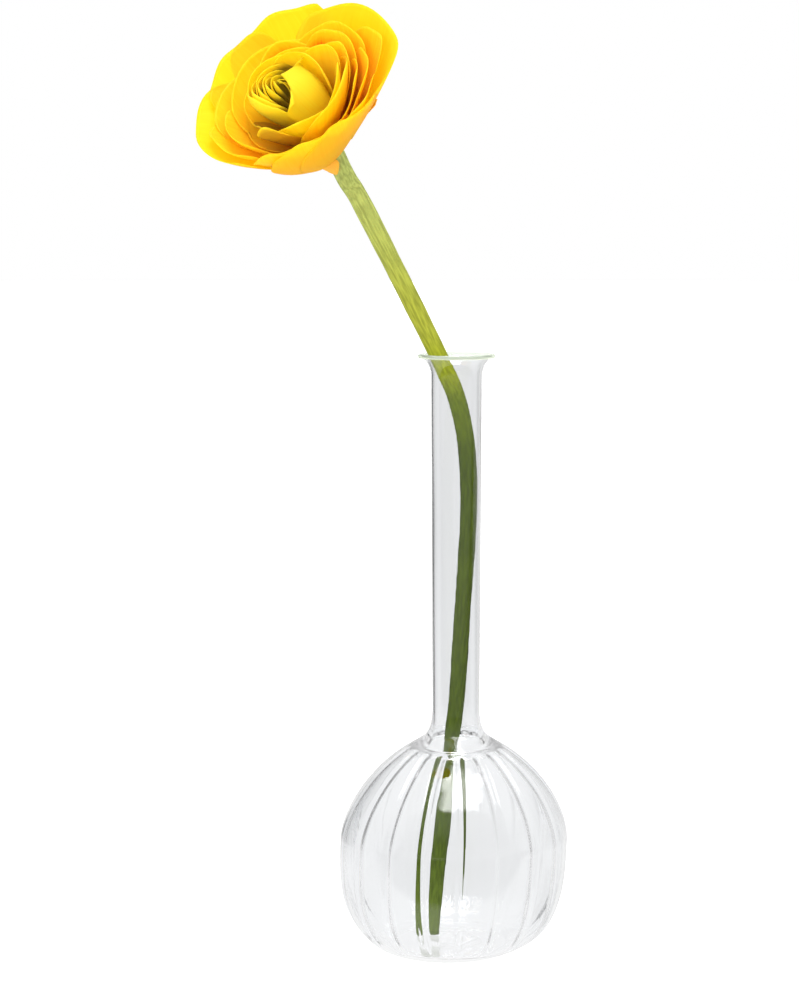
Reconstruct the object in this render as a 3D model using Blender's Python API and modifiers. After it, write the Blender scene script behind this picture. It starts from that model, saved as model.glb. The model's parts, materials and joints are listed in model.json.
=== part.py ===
"""Ribbed glass bud vase with one cut ranunculus standing in it.

The vase is one fused piece of clear glass: a ribbed bulb, a tall slim neck and a flared lip.
The flower is a cut stem whose head is built up of separate petals round a receptacle.
World origin: centre of the vase's foot on the table, +Z up the neck, -Y towards the viewer.
Run with: blender --background --python part.py
"""

import math

import bmesh
import bpy
from mathutils import Matrix, Vector

MM = 0.001
MERGE = 0.0001

# Vase, in millimetres
VASE_HEIGHT = 200.0
LIP_RADIUS = 12.8
LIP_BEAD_RADIUS = 0.7
LIP_FLARE_RADIUS = 8.0
LIP_FLARE_TURN = math.radians(57)
NECK_TOP_RADIUS = 8.4
NECK_FOOT_RADIUS = 7.85
NECK_WALL = 0.9
NECK_FOOT_HEIGHT = 84.0
BULB_RADIUS = 38.0
BULB_MIDDLE = 38.0
BULB_UPPER_RISE = 36.8
BULB_UPPER_POWER = 1.67
BULB_LOWER_DROP = 40.0
BULB_LOWER_POWER = 3.0
BULB_WALL = 1.4
FLOOR_HEIGHT = 3.5
FLOOR_POWER = 2.5
SEAL_RING_RADIUS = 10.6
SEAL_RING_HEIGHT = 66.6
RIB_COUNT = 18
RIB_HEIGHT = 0.9
RIB_FOOT = 5.0
RIB_TOP = 66.0
RIB_PHASE = math.radians(-7)
TURN_STEPS = 4 * RIB_COUNT

# Stem, in millimetres: centre line and radius from the cut foot to the head
STEM_PATH = (
    (-7.9, 6.3, 5.8, 2.6),
    (-6.0, 4.5, 25.7, 2.6),
    (-4.2, 3.0, 43.0, 2.6),
    (-1.7, 1.0, 67.4, 2.65),
    (0.4, 0.0, 86.0, 2.7),
    (2.0, 0.0, 112.0, 2.75),
    (4.1, 0.0, 146.0, 2.8),
    (3.5, 0.0, 168.0, 2.85),
    (0.5, 0.0, 184.0, 2.95),
    (-4.3, 0.0, 196.0, 3.0),
    (-15.0, 0.0, 217.8, 3.1),
    (-31.0, -0.6, 249.2, 3.25),
    (-36.0, -2.2, 257.5, 3.3),
)
STEM_HEAD_GAP = 0.8

# Flower head, in millimetres, on its own axis from the top of the stem
HEAD_PLACE = (-41.8, -9.7, 268.9)
HEAD_AXIS = (-0.402, -0.606, 0.687)
RECEPTACLE_RADIUS = 6.0
RECEPTACLE_RISE = 9.0
RECEPTACLE_FOOT = 3.0
PETALS_PER_RING = (6, 6, 5, 5, 5, 5, 4, 4, 3, 3)
RIM_RADIUS_OUTER = 36.0
RIM_RADIUS_INNER = 3.0
RIM_HEIGHT_OUTER = 27.5
DOME_HEIGHT = 30.0
PETAL_THICKNESS = 0.35
PETAL_OVERLAP = 0.68
PETAL_TWIST = 0.27
CLAW_SHARE = 0.3
CLAW_WIDTH = 0.4
BROADEST = 0.65
PETAL_STEPS_ACROSS = 5
PETAL_STEPS_ALONG = 4
GOLDEN_ANGLE = math.radians(137.5)
SEPAL_COUNT = 5
SEPAL_REACH = 0.42
SEPAL_SPREAD = math.radians(15)

PARTS = "glass_bud_vase_with_flower"


def clear_scene():
    for obj in list(bpy.data.objects):
        bpy.data.objects.remove(obj)


def make_collection(name):
    collection = bpy.data.collections.new(name)
    bpy.context.scene.collection.children.link(collection)
    return collection


def make_material(name, colour, roughness, transmission=0.0):
    material = bpy.data.materials.new(name)
    material.use_nodes = True
    shader = material.node_tree.nodes["Principled BSDF"]
    shader.inputs["Base Color"].default_value = (*colour, 1.0)
    shader.inputs["Roughness"].default_value = roughness
    shader.inputs["Metallic"].default_value = 0.0
    shader.inputs["Transmission Weight"].default_value = transmission
    material.diffuse_color = (*colour, 1.0)
    return material


def add_object(name, data, collection, material, parent=None):
    obj = bpy.data.objects.new(name, data)
    data.materials.append(material)
    collection.objects.link(obj)
    obj.parent = parent
    return obj


def shade_round(mesh):
    mesh.shade_smooth()
    mesh.set_sharp_from_angle(angle=math.radians(40))


def turned_mesh(name, profile, steps):
    """Mesh turned about Z from (radius, height) points that run down the outer side."""
    outline = bpy.data.meshes.new(name + "_outline")
    points = [(r * MM, 0.0, z * MM) for r, z in profile]
    outline.from_pydata(points, [(i, i + 1) for i in range(len(points) - 1)], [])
    holder = bpy.data.objects.new(name + "_outline", outline)
    bpy.context.scene.collection.objects.link(holder)
    screw = holder.modifiers.new("Turn", "SCREW")
    screw.steps = steps
    screw.render_steps = steps
    screw.use_merge_vertices = True
    screw.merge_threshold = MERGE
    graph = bpy.context.evaluated_depsgraph_get()
    mesh = bpy.data.meshes.new_from_object(holder.evaluated_get(graph))
    mesh.name = name
    bpy.data.objects.remove(holder)
    bpy.data.meshes.remove(outline)
    return mesh


def mix(a, b, share):
    return a + (b - a) * share


def superellipse(radius, rise, power, turn):
    """Point of a superellipse, from its side (turn 0) to its top (turn a quarter circle)."""
    return radius * math.cos(turn) ** (2 / power), rise * math.sin(turn) ** (2 / power)


def superellipse_turn(rise, power, height):
    """Turn at which a superellipse reaches a height above its middle."""
    return math.asin((height / rise) ** (power / 2))


def neck_radius(height):
    """Outside radius of the neck: it widens a little towards the lip."""
    top = VASE_HEIGHT - LIP_FLARE_RADIUS
    share = (height - NECK_FOOT_HEIGHT) / (top - NECK_FOOT_HEIGHT)
    return mix(NECK_FOOT_RADIUS, NECK_TOP_RADIUS, max(0.0, min(1.0, share)))


def lip_points(steps):
    """Flared lip, from inside the throat over the bead and down the outside."""
    turns = [LIP_FLARE_TURN * i / steps for i in range(steps + 1)]
    foot = VASE_HEIGHT - LIP_BEAD_RADIUS - LIP_FLARE_RADIUS * math.sin(LIP_FLARE_TURN)
    centre = NECK_TOP_RADIUS + LIP_FLARE_RADIUS
    inner = LIP_FLARE_RADIUS + NECK_WALL
    throat = [(centre - inner * math.cos(t), foot + inner * math.sin(t)) for t in turns]
    outside = [
        (centre - LIP_FLARE_RADIUS * math.cos(t), foot + LIP_FLARE_RADIUS * math.sin(t))
        for t in reversed(turns)
    ]
    bead_height = VASE_HEIGHT - LIP_BEAD_RADIUS
    bead_middle = LIP_RADIUS - LIP_BEAD_RADIUS
    bead = [
        (
            bead_middle + LIP_BEAD_RADIUS * math.sin(a),
            bead_height + LIP_BEAD_RADIUS * math.cos(a),
        )
        for a in (math.radians(d) for d in (-15, 30, 75, 120))
    ]
    return throat[:-1] + bead + outside[1:]


def neck_heights(steps):
    top = VASE_HEIGHT - LIP_FLARE_RADIUS - 4.0
    return [mix(NECK_FOOT_HEIGHT, top, i / steps) for i in range(steps + 1)]


def vase_profile():
    """(radius, height) points from the middle of the inner floor to the middle of the foot."""
    inner_radius = BULB_RADIUS - BULB_WALL
    floor_drop = BULB_MIDDLE - FLOOR_HEIGHT
    quarter = math.pi / 2
    profile = [(0.0, FLOOR_HEIGHT)]
    for i in range(1, 6):
        r, drop = superellipse(inner_radius, floor_drop, FLOOR_POWER, quarter * (1 - i / 6))
        profile.append((r, BULB_MIDDLE - drop))
    roof_rise = BULB_UPPER_RISE - BULB_WALL
    last = superellipse_turn(roof_rise, BULB_UPPER_POWER, SEAL_RING_HEIGHT + 0.2 - BULB_MIDDLE)
    for i in range(6):
        r, rise = superellipse(inner_radius, roof_rise, BULB_UPPER_POWER, last * i / 5)
        profile.append((r, BULB_MIDDLE + rise))
    profile += [
        (SEAL_RING_RADIUS + 2.4, SEAL_RING_HEIGHT + 0.6),
        (SEAL_RING_RADIUS + 0.4, SEAL_RING_HEIGHT),
        (SEAL_RING_RADIUS - 0.6, SEAL_RING_HEIGHT + 0.8),
        (8.2, 72.0),
        (7.2, 77.0),
    ]
    necks = neck_heights(1)
    profile += [(neck_radius(z) - NECK_WALL, z) for z in necks]
    profile += lip_points(3)
    profile += [(neck_radius(z), z) for z in reversed(necks)]
    profile += [(8.15, 78.5), (9.1, 74.8), (11.3, 72.2)]
    last = superellipse_turn(BULB_UPPER_RISE, BULB_UPPER_POWER, 70.0 - BULB_MIDDLE)
    for i in range(7):
        r, rise = superellipse(BULB_RADIUS, BULB_UPPER_RISE, BULB_UPPER_POWER, last * (1 - i / 6))
        profile.append((r, BULB_MIDDLE + rise))
    last = superellipse_turn(BULB_LOWER_DROP, BULB_LOWER_POWER, BULB_MIDDLE)
    for i in range(1, 7):
        r, drop = superellipse(BULB_RADIUS, BULB_LOWER_DROP, BULB_LOWER_POWER, last * i / 6)
        profile.append((r, BULB_MIDDLE - drop))
    return [*profile, (0.0, 0.0)]


def bulb_radius(height):
    """Outside radius of the bulb at a height."""
    above = height - BULB_MIDDLE
    rise, power = (
        (BULB_UPPER_RISE, BULB_UPPER_POWER) if above > 0 else (BULB_LOWER_DROP, BULB_LOWER_POWER)
    )
    return BULB_RADIUS * (1 - (abs(above) / rise) ** power) ** (1 / power)


def press_ribs(mesh):
    """Raises the optic ribs on the inner skin of the bulb, which fade out at both ends."""
    for vertex in mesh.vertices:
        height = vertex.co.z / MM
        radius = math.hypot(vertex.co.x, vertex.co.y) / MM
        if not RIB_FOOT < height < RIB_TOP or radius > bulb_radius(height) - 0.5 * BULB_WALL:
            continue
        if radius < 1.3 * SEAL_RING_RADIUS:
            continue
        crest = max(0.0, math.cos(RIB_COUNT * math.atan2(vertex.co.y, vertex.co.x))) ** 2
        scale = 1 - RIB_HEIGHT * crest / radius
        vertex.co.x *= scale
        vertex.co.y *= scale


def build_vase(collection, glass):
    mesh = turned_mesh("vase_body", vase_profile(), TURN_STEPS)
    press_ribs(mesh)
    shade_round(mesh)
    vase = add_object("vase_body", mesh, collection, glass)
    vase.rotation_euler.z = RIB_PHASE
    return vase


def head_frame():
    """Rotation whose Z is the head's axis and whose X lies level across the face of the flower."""
    axis = Vector(HEAD_AXIS).normalized()
    across = Vector((0, 1, 0)).cross(axis).normalized()
    back = axis.cross(across)
    return Matrix((across, back, axis)).transposed()


def build_stem(collection, green, lift):
    """Soft round stem that bends against the throat and stands on the floor of the bulb."""
    tip = Vector(HEAD_PLACE) - Vector(HEAD_AXIS).normalized() * (RECEPTACLE_FOOT + STEM_HEAD_GAP)
    path = [*STEM_PATH, (*tip, STEM_PATH[-1][3])]
    curve = bpy.data.curves.new("stem", "CURVE")
    curve.dimensions = "3D"
    curve.resolution_u = 2
    curve.bevel_depth = MM
    curve.bevel_resolution = 2
    curve.use_fill_caps = True
    spline = curve.splines.new("BEZIER")
    spline.bezier_points.add(len(path) - 1)
    for point, (x, y, z, radius) in zip(spline.bezier_points, path):
        point.co = Vector((x, y, z)) * MM
        point.handle_left_type = "AUTO"
        point.handle_right_type = "AUTO"
        point.radius = radius
    return add_object("stem", curve, collection, green, lift)


def add_head(collection, lift):
    head = bpy.data.objects.new("flower_head", None)
    collection.objects.link(head)
    head.parent = lift
    head.matrix_local = Matrix.Translation(Vector(HEAD_PLACE) * MM) @ head_frame().to_4x4()
    return head


def cubic(points, share):
    """Point of a cubic Bezier curve given by four (radius, height) points."""
    rest = 1 - share
    weights = (rest**3, 3 * rest**2 * share, 3 * rest * share**2, share**3)
    return tuple(sum(w * p[axis] for w, p in zip(weights, points)) for axis in (0, 1))


def cup_point(depth, share):
    """(radius, height) on one of the nested cups that carry the petals.

    depth runs from 0 at the outermost petals to 1 at the heart, share from claw to rim."""
    turn = 0.46 * math.pi * depth
    claw = (RECEPTACLE_RADIUS * math.cos(turn), RECEPTACLE_RISE * math.sin(turn))
    low = (mix(11.0, 3.4, depth), mix(-0.5, 13.5, depth))
    high = (mix(31.5, 5.8, depth), mix(18.5, 25.0, depth))
    rim = (
        mix(RIM_RADIUS_OUTER, RIM_RADIUS_INNER, depth),
        mix(RIM_HEIGHT_OUTER, DOME_HEIGHT, math.sin(0.5 * math.pi * min(1.0, 1.25 * depth))),
    )
    return cubic((claw, low, high, rim), share)


def petal_width(along):
    """Share of a petal's full width: a narrow claw, broadest past the middle, round at the rim."""
    if along < BROADEST:
        return mix(CLAW_WIDTH, 1.0, math.sin(0.5 * math.pi * along / BROADEST))
    return 1 - 0.25 * ((along - BROADEST) / (1 - BROADEST)) ** 2


def petal_mesh(name, place, depth, spread, ring_step, reach):
    """One petal: a grid laid on its cup, one edge tucked under its neighbour, then thickened."""
    mesh = bpy.data.meshes.new(name)
    form = bmesh.new()
    bmesh.ops.create_grid(
        form, x_segments=PETAL_STEPS_ACROSS, y_segments=PETAL_STEPS_ALONG, size=1.0
    )
    for vertex in form.verts:
        across = vertex.co.x
        along = 0.5 + 0.5 * vertex.co.y
        share = reach * along * (1 - 0.16 * across**2)
        tuck = PETAL_TWIST * ring_step * across * min(1.0, along / CLAW_SHARE)
        radius, height = cup_point(depth + tuck, share)
        angle = place + across * petal_width(along) * spread
        vertex.co = Vector((radius * math.cos(angle), radius * math.sin(angle), height)) * MM
    form.to_mesh(mesh)
    form.free()
    shade_round(mesh)
    return mesh


def thicken(obj):
    solid = obj.modifiers.new("Thickness", "SOLIDIFY")
    solid.thickness = PETAL_THICKNESS * MM
    solid.offset = 0.0
    solid.use_even_offset = False


def build_petals(collection, yellow, head):
    rings = len(PETALS_PER_RING)
    ring_step = 1 / (rings - 1)
    number = 0
    for ring, count in enumerate(PETALS_PER_RING):
        for i in range(count):
            number += 1
            name = f"petal_{number:02d}"
            place = ring * GOLDEN_ANGLE + 2 * math.pi * i / count
            spread = PETAL_OVERLAP * 2 * math.pi / count
            mesh = petal_mesh(name, place, ring * ring_step, spread, ring_step, 1.0)
            thicken(add_object(name, mesh, collection, yellow, head))


def build_sepals(collection, orange, head):
    ring_step = 1 / (len(PETALS_PER_RING) - 1)
    for i in range(SEPAL_COUNT):
        name = f"sepal_{i + 1}"
        place = 2 * math.pi * (i + 0.5) / SEPAL_COUNT
        mesh = petal_mesh(name, place, -0.9 * ring_step, SEPAL_SPREAD, ring_step, SEPAL_REACH)
        thicken(add_object(name, mesh, collection, orange, head))


def build_receptacle(collection, green, head):
    """Small dome at the top of the stem that carries the petals."""
    radius = RECEPTACLE_RADIUS - 0.8
    rise = RECEPTACLE_RISE - 0.8
    dome = [
        (radius * math.sin(t), rise * math.cos(t))
        for t in (math.pi / 2 * i / 6 for i in range(7))
    ]
    foot = -RECEPTACLE_FOOT
    profile = [*dome, (4.2, 0.7 * foot), (3.2, foot), (0.0, foot)]
    mesh = turned_mesh("receptacle", profile, 24)
    shade_round(mesh)
    return add_object("receptacle", mesh, collection, green, head)


def build_carpels(collection, brown, head):
    """Button of unripe seeds that stands on the receptacle inside the innermost petals."""
    foot = RECEPTACLE_RISE - 0.4
    profile = [(0.0, 20.0), (0.6, 19.4), (0.9, 17.0), (0.8, 12.0), (0.5, foot), (0.0, foot)]
    mesh = turned_mesh("carpels", profile, 12)
    shade_round(mesh)
    return add_object("carpels", mesh, collection, brown, head)


def main():
    clear_scene()
    parts = make_collection(PARTS)
    glass = make_material("clear_glass", (0.93, 0.95, 0.95), 0.02, transmission=1.0)
    green = make_material("stem_green", (0.16, 0.22, 0.04), 0.5)
    yellow = make_material("petal_yellow", (0.95, 0.62, 0.02), 0.55)
    orange = make_material("sepal_orange", (0.85, 0.42, 0.05), 0.6)
    brown = make_material("carpel_brown", (0.12, 0.08, 0.02), 0.7)
    build_vase(parts, glass)
    lift = bpy.data.objects.new("flower_lift", None)
    parts.objects.link(lift)
    build_stem(parts, green, lift)
    head = add_head(parts, lift)
    build_receptacle(parts, green, head)
    build_carpels(parts, brown, head)
    build_sepals(parts, orange, head)
    build_petals(parts, yellow, head)


main()
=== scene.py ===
"""Looks of the ribbed glass bud vase with one cut ranunculus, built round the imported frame.

Lengths are in millimetres unless a name says otherwise, in the frame's own axes: the origin is
the centre of the vase's foot, +Z runs up the neck and -Y faces the viewer. The flower's head has
axes of its own: Z out of its face, X level across the face, Y towards its back.
"""

import json
import math
import random

import bmesh
import bpy
import numpy as np
from mathutils import Matrix, Vector

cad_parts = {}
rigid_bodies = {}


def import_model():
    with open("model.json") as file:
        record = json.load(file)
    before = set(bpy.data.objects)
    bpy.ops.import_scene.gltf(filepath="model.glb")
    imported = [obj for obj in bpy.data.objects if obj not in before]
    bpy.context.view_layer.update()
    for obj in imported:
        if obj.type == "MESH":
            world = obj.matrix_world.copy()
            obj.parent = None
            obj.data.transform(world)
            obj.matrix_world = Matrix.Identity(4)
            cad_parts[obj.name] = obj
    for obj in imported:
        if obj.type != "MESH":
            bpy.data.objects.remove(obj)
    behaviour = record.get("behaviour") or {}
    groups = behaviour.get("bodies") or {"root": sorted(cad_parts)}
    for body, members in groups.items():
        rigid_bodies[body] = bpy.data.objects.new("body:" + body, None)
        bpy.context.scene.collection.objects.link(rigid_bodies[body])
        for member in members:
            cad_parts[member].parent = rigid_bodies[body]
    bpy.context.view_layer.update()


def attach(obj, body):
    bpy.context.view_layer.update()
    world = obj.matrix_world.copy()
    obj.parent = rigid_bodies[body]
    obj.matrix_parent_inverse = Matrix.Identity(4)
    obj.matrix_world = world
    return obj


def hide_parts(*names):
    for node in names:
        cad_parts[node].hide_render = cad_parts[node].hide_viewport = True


MM = 0.001
SEED = 11

# Glass, as in the CAD part
VASE_HEIGHT = 200.0
LIP_RADIUS = 12.8
LIP_BEAD_RADIUS = 0.7
LIP_FLARE_RADIUS = 8.0
LIP_FLARE_TURN = math.radians(57)
NECK_TOP_RADIUS = 8.4
NECK_FOOT_RADIUS = 7.85
NECK_FOOT_HEIGHT = 84.0
BULB_RADIUS = 38.0
BULB_MIDDLE = 38.0
BULB_UPPER_RISE = 36.8
BULB_UPPER_POWER = 1.67
BULB_LOWER_DROP = 40.0
BULB_LOWER_POWER = 3.0
RIB_COUNT = 18
RIB_PHASE = math.radians(-7)

# Glass, finer than in the CAD part and with thinner walls
NECK_WALL = 0.65
BULB_WALL = 1.0
FLOOR_HEIGHT = 2.6
LIP_TINT_FOOT = 198.6
LIP_TINT_TOP = 199.2

# Low ring on the inner floor: radius and height above FLOOR_HEIGHT
FLOOR_RING = ((0.0, 0.5), (5.0, 0.5), (7.4, 0.7), (8.6, 1.0), (9.8, 0.5), (11.5, 0.0), (16.0, 0.0))

# Ring where neck and bulb are sealed together, inside and outside: radius and height
SEAL_INSIDE = (
    (14.6, 68.6),
    (12.9, 68.6),
    (11.7, 67.2),
    (10.9, 66.6),
    (10.0, 67.3),
    (8.4, 71.5),
    (7.3, 77.0),
)
SEAL_OUTSIDE = ((7.95, 80.0), (8.5, 76.4), (9.9, 73.4), (12.2, 71.6))
SHOULDER_TOP = 70.4

# Ribs, which stand up from the bulb's inner skin and bunch the columns of the mesh round them
RIB_RISE = 0.56
RIB_HALF_WIDTH = 1.7
RIB_FOOT = 2.0
RIB_TOP = 68.6
RIB_END = 1.8
RIB_CROWDING = 0.55
GLASS_TURNS = 16 * RIB_COUNT

# Stem: x, y, z and radius of its centre line. As in the CAD part but for its lowest part, which
# stands lower and further forward
STEM_PATH = (
    (-8.0, 3.5, 4.0, 2.6),
    (-6.0, 3.2, 25.0, 2.6),
    (-4.2, 2.0, 43.0, 2.6),
    (-1.7, 1.0, 67.4, 2.65),
    (0.4, 0.0, 86.0, 2.7),
    (2.0, 0.0, 112.0, 2.75),
    (4.1, 0.0, 146.0, 2.8),
    (3.5, 0.0, 168.0, 2.85),
    (0.5, 0.0, 184.0, 2.95),
    (-4.3, 0.0, 196.0, 3.0),
    (-15.0, 0.0, 217.8, 3.1),
    (-31.0, -0.6, 249.2, 3.25),
    (-36.0, -2.2, 257.5, 3.3),
)

# Top of the stem's change of colour, which is partly its own green, darker low down, and partly painted
# shade inside the vase and painted light above its lip
STEM_SHADE_AND_COLOUR_TOP = 262.0

# Flower head, as in the CAD part
HEAD_PLACE = (-41.8, -9.7, 268.9)
HEAD_AXIS = (-0.402, -0.606, 0.687)
RECEPTACLE_RADIUS = 6.0
RECEPTACLE_RISE = 9.0
RECEPTACLE_FOOT = 3.0
PETALS_PER_RING = (6, 6, 5, 5, 5, 5, 4, 4, 3, 3)

# Petals, sepals and carpels as they are here only: the petals are thinner than in the CAD part
PETAL_THICKNESS = 0.16
PETAL_COLUMNS = 29
PETAL_ROWS = 23
SEPAL_THICKNESS = 0.35
SEPAL_STEPS = 17
CARPEL_TOP = 20.0

# Ring whose petals are painted redder at the far side of the head: painted shade, the deep orange-red
# shade just above the closed ball
FAR_RED_SHADE_RING = 3

# Shares of light that shine through the tissue rather than off it
PETAL_GLOW = 0.62
SEPAL_GLOW = 0.25

# Rims of the rings of open petals, radius and height, at four directions round the head in degrees
RIM_DIRECTIONS = (-100, -10, 75, 165)
RING_RIMS = (
    ((27.6, 24.5), (36.3, 26.8), (36.8, 28.9), (36.6, 22.5)),
    ((27.2, 23.2), (31.5, 28.0), (29.0, 20.0), (31.5, 24.5)),
    ((25.4, 22.0), (26.5, 28.5), (27.0, 27.5), (25.5, 25.5)),
    ((23.6, 20.8), (23.0, 29.0), (23.5, 28.5), (20.5, 17.0)),
    ((19.5, 27.0), (20.0, 29.3), (18.0, 27.5), (18.5, 24.5)),
    ((17.4, 25.5), (17.0, 29.5), (16.0, 28.0), (15.5, 20.0)),
)

# Direction of each ring's first petal in degrees. The rings further in start like the last one
RING_STARTS = (0, 5, 40, 30, 12, 32)

# Where single petals differ from their ring. place and spread are direction and half width in
# degrees, open and drop move the rim out and down, round cuts its corners, wave ruffles it and
# olive tints the petal
ODD_PETALS = {
    1: {"place": 7, "spread": 74, "round": 0.07, "wave": 0.3, "open": -0.5},
    2: {"place": 86, "spread": 37, "round": 0.05, "open": 1.0, "drop": 0.5},
    3: {"place": 116, "spread": 34, "round": 0.1, "open": 0.3, "drop": -0.6},
    4: {"place": 167, "spread": 51, "round": 0.11},
    5: {"place": 257, "spread": 40, "drop": -0.2},
    6: {"place": 285, "spread": 45, "round": 0.16},
    9: {"place": 128, "spread": 60},
    14: {"place": 112, "spread": 66},
    26: {"place": 224, "spread": 28, "open": 1.6, "drop": -2.2, "round": 0.35, "olive": 1.0},
    27: {"place": 316, "spread": 76},
    30: {"place": 196, "spread": 32, "open": 1.2, "drop": -1.8, "round": 0.35, "olive": 0.8},
}

# Petals of the closed ball: direction and half width in degrees, bulge, rim radius, rim height.
# BALL_COVER is the large petal that lies over half of the ball's mouth
BALL_CENTRE = (-2.7, 0.6)
BALL_COVER = 33
BALL_PETALS = {
    33: (-29, 80, 12.2, 0.8, 32.6),
    34: (195, 62, 12.0, 10.8, 31.0),
    35: (115, 70, 12.6, 11.6, 31.8),
    36: (40, 60, 12.4, 10.8, 32.2),
    37: (-15, 45, 7.6, -0.6, 30.9),
    38: (185, 75, 10.6, 9.4, 31.4),
    39: (130, 75, 9.9, 8.6, 31.2),
    40: (165, 80, 8.8, 7.4, 31.4),
    41: (145, 82, 7.6, 6.0, 31.2),
    42: (170, 82, 6.5, 4.7, 31.3),
    43: (-45, 45, 5.6, -1.6, 30.3),
    44: (140, 82, 5.2, 3.3, 30.9),
    45: (175, 82, 4.1, 2.0, 30.8),
    46: (10, 45, 3.2, -0.8, 29.8),
}

# Sepals: direction and half width in degrees, and (radius, height) points of the curve they follow
SEPALS = (
    (50, 15, ((5.4, -0.6), (11.0, -2.6), (16.0, 3.5), (19.0, 7.0))),
    (-23, 9, ((5.4, -0.4), (8.8, 1.0), (14.5, 7.2), (22.0, 11.0))),
    (120, 15, ((5.4, -0.6), (11.0, -2.6), (16.0, 3.5), (19.0, 7.0))),
    (190, 15, ((5.4, -0.6), (11.0, -2.6), (15.0, 2.0), (18.0, 5.0))),
    (-125, 34, ((5.0, -0.6), (9.0, -2.0), (6.4, -5.0), (5.6, -8.6))),
)

# Brightness of the backdrop round the vase: degrees from straight behind it, to the right
BACKDROP = (
    (-180, 0.12),
    (-130, 0.32),
    (-75, 0.62),
    (-54, 0.20),
    (-42, 0.03),
    (-30, 0.03),
    (-19, 0.84),
    (0, 0.86),
    (7, 0.86),
    (14, 0.74),
    (26, 0.70),
    (36, 0.82),
    (50, 0.60),
    (100, 0.62),
    (140, 0.32),
    (180, 0.12),
)
PLAIN_BACKDROP = 0.86

# Panes of light above the vase, on a plane one unit up: left, right, near and far edges, softness
PANE = (-0.27, 0.44, -0.66, -0.04, 0.08)
SMALL_PANE = (-0.17, -0.03, -0.10, 0.02, 0.03)
PANE_BRIGHTNESS = 8.0

# Camera, in metres but for the lens and the sensor
CAMERA_PLACE = (-0.0188, -1.02, 0.262)
CAMERA_TARGET = (-0.0188, 0.0, 0.1516)
CAMERA_LENS = 111.528
CAMERA_SENSOR = 36.0

# A ray that crosses the vase goes through four skins of glass or more and is mirrored between
# them, so the usual limits would end it in black
LIGHT_BOUNCES = 40


def clear_scene():
    for obj in list(bpy.data.objects):
        bpy.data.objects.remove(obj)


def mix(a, b, share):
    return a + (b - a) * share


def smooth(low, high, value):
    """Smooth step from 0 at low to 1 at high."""
    t = np.clip((value - low) / (high - low), 0.0, 1.0)
    return t * t * (3 - 2 * t)


# ---------------------------------------------------------------- materials


class Shader:
    """A material, or a world, that is built one node at a time."""

    def __init__(self, name, world=None):
        self.data = world or bpy.data.materials.new(name)
        self.data.use_nodes = True
        self.tree = self.data.node_tree
        self.tree.nodes.clear()

    def add(self, kind, inputs=None, **settings):
        """Adds a node. An input is a value, or another node's output socket."""
        node = self.tree.nodes.new(kind)
        for key, value in settings.items():
            setattr(node, key, value)
        for key, value in (inputs or {}).items():
            socket = node.inputs[key]
            if isinstance(value, bpy.types.NodeSocket):
                self.tree.links.new(value, socket)
            else:
                socket.default_value = value
        return node

    def math(self, operation, a, b=0.0, clamp=False):
        return self.add("ShaderNodeMath", {0: a, 1: b}, operation=operation, use_clamp=clamp).outputs[0]

    def sway(self, value, amount):
        """How far a noise value is from its middle, times the amount."""
        return self.math("MULTIPLY", self.math("SUBTRACT", value, 0.5), amount)

    def noise(self, vector, scale, detail):
        inputs = {"Vector": vector, "Scale": scale, "Detail": detail}
        return self.add("ShaderNodeTexNoise", inputs).outputs["Fac"]

    def stretch(self, vector, scale):
        return self.add("ShaderNodeMapping", {"Vector": vector, "Scale": scale}).outputs[0]

    def bump(self, strength, distance, height):
        inputs = {"Strength": strength, "Distance": distance * MM, "Height": height}
        return self.add("ShaderNodeBump", inputs).outputs["Normal"]

    def span(self, value, low, high, start=0.0, end=1.0, kind="LINEAR"):
        """Runs from start to end while the value goes from low to high."""
        inputs = {"Value": value, "From Min": low, "From Max": high, "To Min": start, "To Max": end}
        return self.add("ShaderNodeMapRange", inputs, interpolation_type=kind).outputs[0]

    def mixed(self, share, a, b):
        return self.add("ShaderNodeMixShader", {0: share, 1: a, 2: b}).outputs[0]

    def tissue(self):
        """Masks painted on the petals and sepals: rim, whose low values give painted shade, olive, and
        heart, painted dark shade in the heart.
        """
        colour = self.add("ShaderNodeAttribute", attribute_name="tissue").outputs["Color"]
        return self.add("ShaderNodeSeparateColor", {"Color": colour}).outputs

    def ramp(self, factor, stops):
        node = self.add("ShaderNodeValToRGB", {"Fac": factor})
        ramp = node.color_ramp
        ramp.interpolation = "EASE"
        while len(ramp.elements) < len(stops):
            ramp.elements.new(1.0)
        for element, (place, colour) in zip(ramp.elements, stops):
            element.position = place
            element.color = (*colour, 1.0)
        return node.outputs["Color"]

    def even(self, level):
        """Grey of the level that a socket gives."""
        return self.add("ShaderNodeCombineColor", {0: level, 1: level, 2: level}).outputs[0]

    def blend(self, factor, a, b, kind="MIX"):
        node = self.tree.nodes.new("ShaderNodeMix")
        node.data_type = "RGBA"
        node.blend_type = kind
        for socket, value in ((node.inputs[0], factor), (node.inputs[6], a), (node.inputs[7], b)):
            if isinstance(value, bpy.types.NodeSocket):
                self.tree.links.new(value, socket)
            elif isinstance(value, tuple):
                socket.default_value = (*value, 1.0)
            else:
                socket.default_value = value
        return node.outputs[2]

    def surface(self, shader):
        world = isinstance(self.data, bpy.types.World)
        kind = "ShaderNodeOutputWorld" if world else "ShaderNodeOutputMaterial"
        self.add(kind, {"Surface": shader})
        return self.data


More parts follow.
